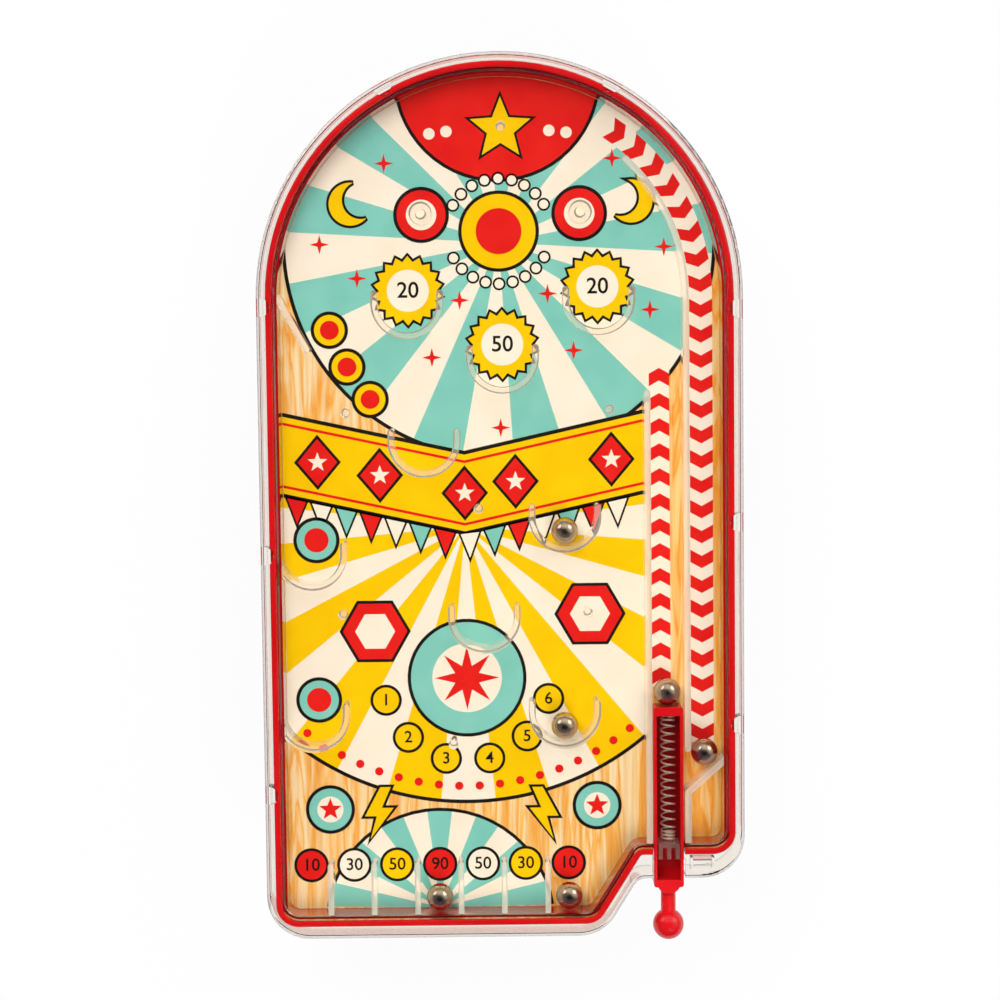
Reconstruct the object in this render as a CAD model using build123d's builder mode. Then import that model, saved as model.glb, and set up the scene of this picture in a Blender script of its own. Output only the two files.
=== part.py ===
from build123d import *
from math import acos, cos, degrees, pi, radians, sin, sqrt, tan
import os

os.makedirs("parts", exist_ok=True)

# Tabletop pinball game lying flat, in millimetres.
# +X points right, +Y to the arched end, +Z up. The origin is under the middle of the board.

# Board outline, as the clear cover's outer edge
board_length = 310.0
board_width = 169.0
shelf_rise = 20.4  # the short bottom edge beside the plunger lies this far above the long one
slope_angle = 58.0
slope_to_plunger = 11.0  # from the inner corner of the outline to the plunger's middle
edge_corner_radius = 15.0
edge_hollow_radius = 5.0

# Ball and the space it runs in
ball_diameter = 9.5
ball_clearance = 0.2  # between a resting ball and what it rests on
headroom = 0.9
lane_play = 1.9
return_play = 2.0

# Red base tray
rim_thickness = 2.2
rim_inset = 3.0
rim_bottom_inset = 4.0
rim_shelf_inset = 8.2
rim_slope_inset = 3.4
rim_corner_radius = 8.0
rim_hollow_radius = 1.5
rim_top_gap = 0.2
rim_round_share = 0.3  # rounding of the rim's top edges, of its thickness
foot_height = 6.0
foot_chamfer = 0.5
floor_thickness = 1.8

# Printed card
card_thickness = 0.8
card_lap = 0.6  # how far the inner wall stands on the card's edge

# Clear cover
panel_thickness = 1.6
panel_edge_round = 1.0
skirt_thickness = 1.3
skirt_foot_gap = 5.0
inner_wall_thickness = 1.8
wall_foot_share = 0.3  # rounding of a wall's foot, of its thickness
wall_gap = 0.2  # between the rim and the inner wall
seat_gap = 0.02  # between pieces that meet face to face

# Clips that hold the cover on the rim
clip_radius = 3.4
clip_reach = 1.6
clip_depth = 6.0
clip_clearance = 0.15
clip_arch_angle = 28.5
left_clip_shares = (0.438, -0.121, -0.669)
right_clip_shares = (0.425, -0.056, -0.518)

# Rib frame under the cover beside the plunger
rib_thickness = 0.9
rib_depth = 5.0
rib_length = 8.5
rib_to_plunger = 7.6
rib_margin = 1.2

# Clear guides that hang from the cover's panel
guide_thickness = 2.2
guide_floor_gap = 0.3
guide_foot_share = 0.4  # rounding of a guide's foot, of its thickness
lane_wall_top_share = 0.238
divider_foot_share = -0.571
divider_end_angle = 47.0
ramp_drop = 10.2
ramp_foot_share = -0.672
deflector_length = 21.2
deflector_angle = 62.0
deflector_start_share = 0.463
pocket_divider_length = 17.6
pocket_divider_thickness = 2.0
pocket_count = 7

# Cups, as U-shaped walls open towards the arch
cup_play = 11.1
cup_wall = 2.4
cup_arm = 3.2
cup_shares = {
    "cup_top_left": (-0.416, 0.446),
    "cup_top_centre": (0.011, 0.322),
    "cup_top_right": (0.447, 0.451),
    "cup_mid_left": (-0.348, 0.135),
    "cup_mid_right": (0.286, -0.039),
    "cup_left_upper": (-0.868, -0.120),
    "cup_centre_low": (-0.084, -0.266),
    "cup_lower_right": (0.278, -0.486),
    "cup_left_lower": (-0.868, -0.489),
}

# Pegs and tubular posts
peg_diameter = 3.4
peg_taper = 1.5
peg_tip_share = 0.25  # rounding of the tip, of the diameter
peg_shares = (
    (0.013, 0.836),
    (-0.701, 0.200),
    (0.492, 0.202),
    (-0.105, -0.019),
    (-0.727, -0.257),
    (0.387, -0.257),
    (-0.232, -0.555),
)
post_diameter = 8.0
post_bore = 3.2
post_shares = ((-0.351, 0.645), (0.367, 0.645))

# Plunger
plunger_side_play = 0.4
plunger_floor_gap = 0.3
plunger_top_gap = 1.0
plunger_wall = 1.2
plunger_edge_share = 0.3  # rounding of the upper edges, of the wall
head_thickness = 3.2
head_edge_round = 1.0
knob_diameter = 11.0
knob_overhang = 3.2  # beyond the flange's lower edge
neck_diameter = 5.3
neck_length = 7.0
nose_length = 2.4
nose_inset = 1.1
trough_end_wall = 2.6
trough_tail = 8.2  # free trough behind the spring stop
feed_ball_gap = 0.35  # beside the ball that waits on the ramp

# Spring and its stop
spring_diameter = 5.6
spring_wire = 0.7
spring_length = 45.2
spring_end_gap = 0.1
spring_close_pitch = 1.2
spring_head_turns = 1.5
spring_active_turns = 14
spring_stop_turns = 3
stop_thickness = 5.4
stop_web = 1.6
stop_rib = 1.4
stop_side_play = 0.4

# Fold-out stand under the tray
stand_width = 88.0
stand_length = 48.0
stand_bar_width = 6.5
stand_bar_thickness = 3.4
stand_corner_radius = 9.0
stand_edge_round = 0.7
stand_barrel_radius = 2.5
stand_pin_radius = 1.5
stand_pin_play = 0.05
stand_pin_length = 4.0
stand_side_play = 0.4
stand_y_share = 0.645
lug_thickness = 4.6
lug_radius = 2.7
stop_block_length = 2.4
stop_block_gap = 0.5

# One overrun for all cuts
overrun = 1.0

# Levels, from the table up
floor_top = foot_height + floor_thickness
card_top = floor_top + card_thickness
ball_z = card_top + ball_clearance + ball_diameter / 2
panel_bottom = card_top + ball_clearance + ball_diameter + headroom
panel_top = panel_bottom + panel_thickness
rim_top = panel_bottom - rim_top_gap
guide_bottom = card_top + guide_floor_gap
guide_height = panel_bottom - seat_gap - guide_bottom

# Field inside the clear inner wall
half_length = board_length / 2
half_width = board_width / 2
arch_y = half_length - half_width
edge_shelf_y = -half_length + shelf_rise
field_step = rim_thickness + wall_gap + inner_wall_thickness
field_half_width = half_width - rim_inset - field_step
field_bottom_y = -half_length + rim_bottom_inset + field_step
field_shelf_y = edge_shelf_y + rim_shelf_inset + field_step

# Lanes on the right
lane_width = ball_diameter + lane_play
return_width = ball_diameter + return_play
divider_x = field_half_width - return_width - guide_thickness / 2
lane_x = divider_x - guide_thickness / 2 - lane_width / 2
lane_wall_x = lane_x - lane_width / 2 - guide_thickness / 2
slope_corner_x = lane_x - slope_to_plunger


def slope_x(y, inset):
    """X of the sloping bottom edge at height y, drawn in by an inset."""
    slope = radians(slope_angle)
    return slope_corner_x - inset / sin(slope) + (y - edge_shelf_y) / tan(slope)


def board_plan(side, bottom, shelf, slope, corner, hollow):
    """Plan of the board, drawn in from its outer edge by its own inset on each side."""
    side_x = half_width - side
    bottom_y = -half_length + bottom
    shelf_y = edge_shelf_y + shelf
    with BuildSketch() as plan:
        with BuildLine():
            FilletPolyline(
                (side_x, arch_y),
                (side_x, shelf_y),
                (slope_x(shelf_y, slope), shelf_y),
                (slope_x(bottom_y, slope), bottom_y),
                (-side_x, bottom_y),
                (-side_x, arch_y),
                radius=(corner, hollow, corner, corner),
            )
            CenterArc((0, arch_y), side_x, 0, 90)
            CenterArc((0, arch_y), side_x, 90, 90)
        make_face()
    return plan.sketch


def field_point(shares):
    """Place on the field from its shares of the field's half width and the board's half length."""
    return shares[0] * field_half_width, shares[1] * half_length


def edge_plan(step):
    """Plan of the cover's outer edge, drawn in by one step all round."""
    return board_plan(step, step, step, step, edge_corner_radius - step, edge_hollow_radius + step)


def rim_plan(step):
    """Plan of the tray's rim, drawn in from its outer face by one step all round."""
    return board_plan(
        rim_inset + step,
        rim_bottom_inset + step,
        rim_shelf_inset + step,
        rim_slope_inset + step,
        rim_corner_radius - step,
        rim_hollow_radius + step,
    )


outer_edge = edge_plan(0)
skirt_inside = edge_plan(skirt_thickness)
rim_outside = rim_plan(0)
rim_inside = rim_plan(rim_thickness)
inner_wall_outside = rim_plan(rim_thickness + wall_gap)
field_plan = rim_plan(field_step)
guide_plan = rim_plan(field_step + seat_gap)

# Clip stations, each with its own +X pointing out of the board
clip_ring = half_width - rim_inset + clip_radius - clip_reach
clip_places = [Location((clip_ring, share * half_length)) for share in right_clip_shares]
clip_places += [Location((-clip_ring, share * half_length), (0, 0, 180)) for share in left_clip_shares]
for clip_angle in (90 - clip_arch_angle, 90 + clip_arch_angle):
    clip_x = clip_ring * cos(radians(clip_angle))
    clip_y = arch_y + clip_ring * sin(radians(clip_angle))
    clip_places.append(Location((clip_x, clip_y), (0, 0, clip_angle)))

# Plunger levels and stations along its lane, at rest
plunger_width = lane_width - 2 * plunger_side_play
plunger_bottom = card_top + plunger_floor_gap
plunger_top = panel_bottom - plunger_top_gap
trough_width = plunger_width - 2 * plunger_wall
trough_floor = plunger_bottom + plunger_wall
knob_y = -half_length - knob_overhang + knob_diameter / 2
nose_end_y = knob_y + sqrt((knob_diameter / 2) ** 2 - (neck_diameter / 2) ** 2) + neck_length
body_end_y = nose_end_y + nose_length
trough_end_y = body_end_y + trough_end_wall
stop_low_y = trough_end_y + trough_tail
stop_high_y = stop_low_y + stop_thickness
head_low_y = stop_high_y + spring_length
head_high_y = head_low_y + head_thickness

# Stand stations
stand_y = stand_y_share * half_length
stand_z = foot_height / 2
stand_arm_x = stand_width / 2 - stand_bar_width / 2
lug_x = stand_width / 2 + stand_side_play + lug_thickness / 2

# Red base tray
with BuildPart() as base_tray:
    with BuildSketch():
        add(rim_outside)
    extrude(amount=rim_top)
    chamfer(base_tray.faces().sort_by(Axis.Z)[0].outer_wire().edges(), length=foot_chamfer)
    with BuildSketch(Plane.XY.offset(floor_top)):
        add(rim_inside)
    extrude(amount=rim_top - floor_top + overrun, mode=Mode.SUBTRACT)
    fillet(base_tray.edges().group_by(Axis.Z)[-1], radius=rim_round_share * rim_thickness)
    with BuildSketch():
        add(rim_inside)
    extrude(amount=foot_height, mode=Mode.SUBTRACT)
    # Half-round seats of the clips in the rim
    with BuildSketch(Plane.XY.offset(rim_top + overrun)):
        with Locations(*clip_places):
            Circle(clip_radius)
    extrude(amount=-clip_depth - overrun, mode=Mode.SUBTRACT)
    # Gap in the rim for the plunger
    with BuildSketch(Plane.XY.offset(card_top)):
        with Locations((lane_x, edge_shelf_y + rim_shelf_inset + rim_thickness / 2)):
            Rectangle(lane_width, rim_thickness + 2 * overrun)
    extrude(amount=rim_top - card_top + overrun, mode=Mode.SUBTRACT)
    # Hinge lugs and stop blocks of the stand
    with BuildSketch(Plane.YZ.offset(lug_x - lug_thickness / 2)):
        with Locations((stand_y, stand_z)):
            Circle(lug_radius)
        with Locations((stand_y, stand_z + foot_height / 4)):
            Rectangle(2 * lug_radius, foot_height / 2)
        with Locations((stand_y, stand_z)):
            Circle(stand_pin_radius + stand_pin_play, mode=Mode.SUBTRACT)
    lug = extrude(amount=lug_thickness)
    mirror(lug, about=Plane.YZ)
    with BuildSketch(Plane.XY.offset(stand_z - lug_radius)):
        with Locations((0, stand_y + stand_barrel_radius + stop_block_gap + stop_block_length / 2)):
            with GridLocations(2 * stand_arm_x, 0, 2, 1):
                Rectangle(stand_bar_width, stop_block_length)
    extrude(amount=foot_height - stand_z + lug_radius)
base_tray.part.label = "base_tray"
export_step(base_tray.part, "parts/base_tray.step")

# Printed card on the tray's floor
with BuildPart() as playfield_card:
    with BuildSketch(Plane.XY.offset(floor_top)):
        add(rim_plan(field_step - card_lap))
    extrude(amount=card_thickness)
playfield_card.part.label = "playfield_card"
export_step(playfield_card.part, "parts/playfield_card.step")

# Clear cover: panel, skirt, inner wall and clips
with BuildPart() as clear_cover:
    with BuildSketch(Plane.XY.offset(panel_bottom)):
        add(outer_edge)
    extrude(amount=panel_thickness)
    fillet(clear_cover.faces().sort_by(Axis.Z)[-1].outer_wire().edges(), radius=panel_edge_round)
    with BuildSketch(Plane.XY.offset(skirt_foot_gap)):
        add(outer_edge)
        add(skirt_inside, mode=Mode.SUBTRACT)
    extrude(amount=panel_bottom - skirt_foot_gap)
    fillet(clear_cover.edges().group_by(Axis.Z)[0], radius=wall_foot_share * skirt_thickness)
    with BuildSketch(Plane.XY.offset(card_top + seat_gap)):
        add(inner_wall_outside)
        add(field_plan, mode=Mode.SUBTRACT)
    extrude(amount=panel_bottom - card_top - seat_gap)
    inner_wall_foot = clear_cover.edges().filter_by_position(Axis.Z, card_top, card_top + 2 * seat_gap)
    fillet(inner_wall_foot, radius=wall_foot_share * inner_wall_thickness)
    # Clips: a block across the channel with a half-round nose in the rim's seat
    with BuildSketch(Plane.XY.offset(panel_bottom)):
        with Locations(*clip_places):
            Circle(clip_radius - clip_clearance)
        add(outer_edge, mode=Mode.INTERSECT)
    extrude(amount=-clip_depth + clip_clearance)
    # Rib frame under the panel on the plunger's right
    with BuildSketch(Plane.XY.offset(panel_bottom)):
        rib_x = lane_x + rib_to_plunger + rib_length / 2
        rib_y = edge_shelf_y + (skirt_thickness + rim_shelf_inset) / 2
        rib_width = rim_shelf_inset - skirt_thickness - 2 * rib_margin
        with Locations((rib_x, rib_y)):
            Rectangle(rib_length, rib_width)
            Rectangle(rib_length - 2 * rib_thickness, rib_width - 2 * rib_thickness, mode=Mode.SUBTRACT)
        add(skirt_inside, mode=Mode.INTERSECT)
    extrude(amount=-rib_depth)
    # Slot in the panel over the plunger, and the gap below it in skirt and inner wall
    with BuildSketch(Plane.XY.offset(panel_top + overrun)):
        with Locations((lane_x, edge_shelf_y - overrun)):
            Rectangle(lane_width, stop_low_y - edge_shelf_y + overrun, align=(Align.CENTER, Align.MIN))
    extrude(amount=-panel_top - overrun, mode=Mode.SUBTRACT)
    with BuildSketch(Plane.XY.offset(panel_bottom)):
        with Locations((lane_x, edge_shelf_y)):
            Rectangle(lane_width, field_shelf_y - edge_shelf_y + overrun, align=(Align.CENTER, Align.MIN))
    extrude(amount=-panel_bottom, mode=Mode.SUBTRACT)
clear_cover.part.label = "clear_cover"
export_step(clear_cover.part, "parts/clear_cover.step")

guide_plane = Plane.XY.offset(guide_bottom)

# Wall on the left of the shooter lane
with BuildPart() as shooter_lane_wall:
    with BuildSketch(guide_plane):
        lane_wall_top_y = lane_wall_top_share * half_length
        with Locations((lane_wall_x, lane_wall_top_y)):
            Circle(guide_thickness / 2)
        with Locations((lane_wall_x, field_shelf_y - guide_thickness)):
            lane_wall_length = lane_wall_top_y - field_shelf_y + guide_thickness
            Rectangle(guide_thickness, lane_wall_length, align=(Align.CENTER, Align.MIN))
    extrude(amount=guide_height)
    fillet(shooter_lane_wall.edges().group_by(Axis.Z)[0], radius=guide_foot_share * guide_thickness)
    with BuildSketch(guide_plane):
        add(guide_plan)
    extrude(amount=guide_height, mode=Mode.INTERSECT)
shooter_lane_wall.part.label = "shooter_lane_wall"
export_step(shooter_lane_wall.part, "parts/shooter_lane_wall.step")

# Divider between shooter lane and return lane, bent along the arch
with BuildPart() as lane_divider:
    with BuildSketch(guide_plane):
        with BuildLine() as divider_path:
            Line((divider_x, divider_foot_share * half_length), (divider_x, arch_y))
            CenterArc((0, arch_y), divider_x, 0, divider_end_angle)
        SlotArc(divider_path.wire(), guide_thickness)
    extrude(amount=guide_height)
    fillet(lane_divider.edges().group_by(Axis.Z)[0], radius=guide_foot_share * guide_thickness)
lane_divider.part.label = "lane_divider"
export_step(lane_divider.part, "parts/lane_divider.step")

# Ramp that leads a returning ball to the plunger, and the wall below it
ramp_foot_y = ramp_foot_share * half_length
ramp_slope = ramp_drop / return_width
ramp_reach = return_width + 2 * guide_thickness
with BuildPart() as feed_ramp:
    with BuildSketch(guide_plane):
        with BuildLine() as ramp_path:
            Polyline(
                (divider_x + ramp_reach, ramp_foot_y + ramp_slope * ramp_reach),
                (divider_x, ramp_foot_y),
                (divider_x, field_shelf_y - guide_thickness),
            )
        SlotArc(ramp_path.wire(), guide_thickness)
    extrude(amount=guide_height)
    fillet(feed_ramp.edges().group_by(Axis.Z)[0], radius=guide_foot_share * guide_thickness)
    with BuildSketch(guide_plane):
        add(guide_plan)
    extrude(amount=guide_height, mode=Mode.INTERSECT)
feed_ramp.part.label = "feed_ramp"
export_step(feed_ramp.part, "parts/feed_ramp.step")

# Slanted wall on the left
with BuildPart() as left_deflector:
    with BuildSketch(guide_plane):
        deflector_start_y = deflector_start_share * half_length
        with BuildLine() as deflector_path:
            PolarLine((-field_half_width, deflector_start_y), deflector_length, -deflector_angle)
        SlotArc(deflector_path.wire(), guide_thickness)
    extrude(amount=guide_height)
    fillet(left_deflector.edges().group_by(Axis.Z)[0], radius=guide_foot_share * guide_thickness)
    with BuildSketch(guide_plane):
        add(guide_plan)
    extrude(amount=guide_height, mode=Mode.INTERSECT)
left_deflector.part.label = "left_deflector"
export_step(left_deflector.part, "parts/left_deflector.step")

# Walls between the score pockets
pocket_end_x = slope_x(field_bottom_y, rim_slope_inset + field_step)
pocket_pitch = (pocket_end_x + field_half_width) / pocket_count
divider_xs = [-field_half_width + (index + 1) * pocket_pitch for index in range(pocket_count - 1)]
with BuildPart() as pocket_dividers:
    with BuildSketch(guide_plane):
        with Locations(*[(x, field_bottom_y + pocket_divider_length) for x in divider_xs]):
            Circle(pocket_divider_thickness / 2)
        with Locations(*[(x, field_bottom_y - pocket_divider_thickness) for x in divider_xs]):
            full_length = pocket_divider_length + pocket_divider_thickness
            Rectangle(pocket_divider_thickness, full_length, align=(Align.CENTER, Align.MIN))
    extrude(amount=guide_height)
    fillet(pocket_dividers.edges().group_by(Axis.Z)[0], radius=guide_foot_share * pocket_divider_thickness)
    with BuildSketch(guide_plane):
        add(guide_plan)
    extrude(amount=guide_height, mode=Mode.INTERSECT)
pocket_dividers.part.label = "pocket_dividers"
export_step(pocket_dividers.part, "parts/pocket_dividers.step")

# Nine cups
cup_radius = (ball_diameter + cup_play + cup_wall) / 2
cup_centres = {name: field_point(shares) for name, shares in cup_shares.items()}
for cup_name, (cup_x, cup_y) in cup_centres.items():
    with BuildPart() as cup:
        with BuildSketch(guide_plane):
            with BuildLine() as cup_path:
                Line((cup_x - cup_radius, cup_y + cup_arm), (cup_x - cup_radius, cup_y))
                ThreePointArc(
                    (cup_x - cup_radius, cup_y),
                    (cup_x, cup_y - cup_radius),
                    (cup_x + cup_radius, cup_y),
                )
                Line((cup_x + cup_radius, cup_y), (cup_x + cup_radius, cup_y + cup_arm))
            SlotArc(cup_path.wire(), cup_wall)
        extrude(amount=guide_height)
        fillet(cup.edges().group_by(Axis.Z)[0], radius=guide_foot_share * cup_wall)
        with BuildSketch(guide_plane):
            add(guide_plan)
        extrude(amount=guide_height, mode=Mode.INTERSECT)
    cup.part.label = cup_name
    export_step(cup.part, f"parts/{cup_name}.step")

# Pegs, tapering down from the panel
with BuildPart() as pegs:
    with BuildSketch(Plane.XY.offset(panel_bottom - seat_gap)):
        with Locations(*[field_point(shares) for shares in peg_shares]):
            Circle(peg_diameter / 2)
    extrude(amount=-guide_height, taper=peg_taper)
    fillet(pegs.edges().group_by(Axis.Z)[0], radius=peg_tip_share * peg_diameter)
pegs.part.label = "pegs"
export_step(pegs.part, "parts/pegs.step")

# Tubular posts
with BuildPart() as bumper_posts:
    with BuildSketch(guide_plane):
        with Locations(*[field_point(shares) for shares in post_shares]):
            Circle(post_diameter / 2)
            Circle(post_bore / 2, mode=Mode.SUBTRACT)
    extrude(amount=guide_height)
    post_wall = (post_diameter - post_bore) / 2
    fillet(bumper_posts.edges().group_by(Axis.Z)[0], radius=guide_foot_share * post_wall)
bumper_posts.part.label = "bumper_posts"
export_step(bumper_posts.part, "parts/bumper_posts.step")

# Cross wall in the plunger's trough that the spring pushes against
stop_width = trough_width - 2 * stop_side_play
with BuildPart() as spring_stop:
    with BuildSketch(Plane.XY.offset(panel_bottom - seat_gap)):
        with Locations((lane_x, stop_high_y)):
            Rectangle(stop_width, stop_web, align=(Align.CENTER, Align.MAX))
        with Locations((lane_x, stop_high_y - stop_thickness / 2)):
            with GridLocations((stop_width - stop_rib) / 2, 0, 3, 1):
                Rectangle(stop_rib, stop_thickness)
    extrude(amount=-(panel_bottom - seat_gap - trough_floor - plunger_floor_gap))
spring_stop.part.label = "spring_stop"
export_step(spring_stop.part, "parts/spring_stop.step")

# Plunger: head, trough, nose, neck and knob in one moulding
knob_radius = knob_diameter / 2
neck_radius = neck_diameter / 2
neck_angle = degrees(acos(neck_radius / knob_radius))
ball_lane_y = head_high_y + ball_clearance + ball_diameter / 2
with BuildPart() as plunger:
    with BuildSketch(Plane.XY.offset(plunger_bottom)) as plunger_plan:
        with Locations((lane_x, body_end_y)):
            Rectangle(plunger_width, head_high_y - body_end_y, align=(Align.CENTER, Align.MIN))
        fillet(plunger_plan.vertices(), radius=head_edge_round)
        with BuildLine():
            nose_left = (lane_x - plunger_width / 2 + nose_inset, trough_end_y)
            nose_right = (lane_x + plunger_width / 2 - nose_inset, trough_end_y)
            ThreePointArc(nose_left, (lane_x, nose_end_y), nose_right)
            Line(nose_right, nose_left)
        make_face()
    extrude(amount=plunger_top - plunger_bottom)
    with BuildSketch(Plane.XY.offset(trough_floor)):
        with Locations((lane_x, trough_end_y)):
            Rectangle(trough_width, head_low_y - trough_end_y, align=(Align.CENTER, Align.MIN))
    extrude(amount=plunger_top - trough_floor + overrun, mode=Mode.SUBTRACT)
    fillet(plunger.edges().group_by(Axis.Z)[-1], radius=plunger_edge_share * plunger_wall)
    with BuildSketch(Plane.XY.offset(ball_z)):
        with BuildLine():
            knob_arc = CenterArc((lane_x, knob_y), knob_radius, neck_angle, -90 - neck_angle)
            Polyline(knob_arc @ 1, (lane_x, trough_end_y), (lane_x + neck_radius, trough_end_y), knob_arc @ 0)
        make_face()
    revolve(axis=Axis((lane_x, 0, ball_z), (0, 1, 0)))
plunger.part.label = "plunger"
export_step(plunger.part, "parts/plunger.step")

# Spring: one wire along half turns, close at both ends, each half turn a pair of tangent arcs
spring_radius = (spring_diameter - spring_wire) / 2
close_turns = spring_head_turns + spring_stop_turns
wound_length = spring_length - 2 * spring_end_gap - spring_wire
active_pitch = (wound_length - close_turns * spring_close_pitch) / spring_active_turns
half_turn_steps = [spring_close_pitch / 2] * round(2 * spring_head_turns)
half_turn_steps += [active_pitch / 2] * round(2 * spring_active_turns)
half_turn_steps += [spring_close_pitch / 2] * round(2 * spring_stop_turns)


def spring_point(index):
    """Wire's middle at the end of a half turn."""
    y = head_low_y - spring_end_gap - spring_wire / 2 - sum(half_turn_steps[:index])
    return Vector(lane_x + spring_radius * sin(pi * index), y, ball_z + spring_radius * cos(pi * index))


def spring_tangent(index):
    """Direction of the wire at the end of a half turn."""
    beside = half_turn_steps[max(index - 1, 0) : index + 1]
    rise = sum(beside) / len(beside)
    around = pi * spring_radius
    return Vector(around * cos(pi * index), -rise, -around * sin(pi * index)).normalized()


def tangent_arc_pair(start, start_tangent, end, end_tangent):
    """Joint point and joint direction of two arcs that leave and reach the given tangents."""
    across = end - start
    both = start_tangent + end_tangent
    turn = 2 * (1 - start_tangent.dot(end_tangent))
    along = across.dot(both)
    reach = (sqrt(along**2 + turn * across.dot(across)) - along) / turn
    leave = start + start_tangent * reach
    arrive = end - end_tangent * reach
    return (leave + arrive) / 2, (arrive - leave).normalized()


with BuildPart() as plunger_spring:
    with BuildLine() as spring_path:
        last = len(half_turn_steps)
        Line(spring_point(0) - spring_tangent(0) * spring_wire, spring_point(0))
        for index in range(last):
            joint, joint_tangent = tangent_arc_pair(
                spring_point(index), spring_tangent(index), spring_point(index + 1), spring_tangent(index + 1)
            )
            TangentArc(spring_point(index), joint, tangent=spring_tangent(index))
            TangentArc(joint, spring_point(index + 1), tangent=joint_tangent)
        Line(spring_point(last), spring_point(last) + spring_tangent(last) * spring_wire)
    with BuildSketch(Plane(origin=spring_path.wire() @ 0, z_dir=spring_tangent(0))):
        Circle(spring_wire / 2)
    sweep(path=spring_path.wire())
plunger_spring.part.label = "plunger_spring"
export_step(plunger_spring.part, "parts/plunger_spring.step")

# Least gap of the spring's wire to itself, on points a twelfth of a turn apart
samples = 6 * last
spring_points = [spring_path.wire() @ (index / samples) for index in range(samples + 1)]
near = min(
    (spring_points[first] - spring_points[second]).length
    for first in range(samples + 1)
    for second in range(first + 6, min(first + 30, samples + 1))
)
print(f"least gap of the spring to itself: {near - spring_wire:.2f} mm")

# Six steel balls at rest
ball_radius = ball_diameter / 2
cup_sink = cup_radius - cup_wall / 2 - ball_clearance - ball_radius
pocket_ball_y = field_bottom_y + ball_clearance + ball_radius
feed_x = divider_x + guide_thickness / 2 + ball_radius + feed_ball_gap
feed_rise = (guide_thickness / 2 + ball_clearance + ball_radius) * sqrt(1 + ramp_slope**2)
ball_places = {
    "ball_lane": (lane_x, ball_lane_y),
    "ball_feed": (feed_x, ramp_foot_y + ramp_slope * (feed_x - divider_x) + feed_rise),
    "ball_cup_mid": (cup_centres["cup_mid_right"][0], cup_centres["cup_mid_right"][1] - cup_sink),
    "ball_cup_low": (cup_centres["cup_lower_right"][0], cup_centres["cup_lower_right"][1] - cup_sink),
    "ball_pocket_left": (divider_xs[2] + pocket_pitch / 2, pocket_ball_y),
    "ball_pocket_right": (divider_xs[5] + pocket_pitch / 2, pocket_ball_y),
}
for ball_name, (ball_x, ball_y) in ball_places.items():
    with BuildPart() as ball:
        with Locations((ball_x, ball_y, ball_z)):
            Sphere(ball_radius)
    ball.part.label = ball_name
    export_step(ball.part, f"parts/{ball_name}.step")

# Fold-out stand, folded into the tray's underside
with BuildPart() as stand_leg:
    with BuildSketch(Plane.XY.offset(stand_z - stand_bar_thickness / 2)) as stand_plan:
        with Locations((0, stand_y)):
            Rectangle(stand_width, stand_length, align=(Align.CENTER, Align.MAX))
        fillet(stand_plan.vertices().group_by(Axis.Y)[0], radius=stand_corner_radius)
        inner_radius = stand_corner_radius - stand_bar_width
        with BuildLine():
            inner_x = stand_width / 2 - stand_bar_width
            inner_y = stand_y - stand_length + stand_bar_width
            FilletPolyline(
                (inner_x, stand_y),
                (inner_x, inner_y),
                (-inner_x, inner_y),
                (-inner_x, stand_y),
                radius=inner_radius,
            )
            Line((-inner_x, stand_y), (inner_x, stand_y))
        make_face(mode=Mode.SUBTRACT)
    extrude(amount=stand_bar_thickness)
    fillet(stand_leg.edges().group_by(Axis.Z)[0], radius=stand_edge_round)
    with BuildSketch(Plane.YZ.offset(stand_width / 2 - stand_bar_width)):
        with Locations((stand_y, stand_z)):
            Circle(stand_barrel_radius)
    barrel = extrude(amount=stand_bar_width)
    with BuildSketch(Plane.YZ.offset(stand_width / 2)):
        with Locations((stand_y, stand_z)):
            Circle(stand_pin_radius)
    pin = extrude(amount=stand_pin_length)
    mirror(barrel, about=Plane.YZ)
    mirror(pin, about=Plane.YZ)
stand_leg.part.label = "stand_leg"
export_step(stand_leg.part, "parts/stand_leg.step")
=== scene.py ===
# %% [markdown]
# # A tabletop pinball game
# The board is a red moulded tray with a printed card in it, under a clear moulded cover that is full of
# guides and cups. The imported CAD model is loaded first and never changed. Everything made below sits on it
# in the same frame, in metres, so no piece has to be fitted by eye.

# %% Load the frame
import bpy
import math
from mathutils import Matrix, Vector


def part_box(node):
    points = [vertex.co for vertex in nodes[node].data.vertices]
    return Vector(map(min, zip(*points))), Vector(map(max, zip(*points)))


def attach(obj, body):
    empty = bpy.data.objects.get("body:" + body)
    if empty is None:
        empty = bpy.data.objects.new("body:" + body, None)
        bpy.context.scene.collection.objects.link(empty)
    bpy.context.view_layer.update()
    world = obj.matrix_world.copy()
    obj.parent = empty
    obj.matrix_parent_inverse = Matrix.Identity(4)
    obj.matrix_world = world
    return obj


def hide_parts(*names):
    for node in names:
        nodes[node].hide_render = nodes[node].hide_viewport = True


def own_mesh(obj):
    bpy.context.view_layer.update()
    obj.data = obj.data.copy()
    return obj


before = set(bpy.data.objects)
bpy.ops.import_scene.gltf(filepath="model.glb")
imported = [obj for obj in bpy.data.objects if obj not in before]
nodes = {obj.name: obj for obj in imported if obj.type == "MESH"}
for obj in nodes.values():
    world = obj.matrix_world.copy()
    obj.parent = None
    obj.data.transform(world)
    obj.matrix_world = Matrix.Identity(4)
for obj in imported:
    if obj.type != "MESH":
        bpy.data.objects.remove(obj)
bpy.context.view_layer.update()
MM = 0.001

# %% [markdown]
# ## The camera
# The board is seen from almost straight above, a little from its arched end, so the far end is slightly
# narrower. A long lens from under a metre away gives that mild perspective. The camera comes first because every
# later choice is judged through it.

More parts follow.
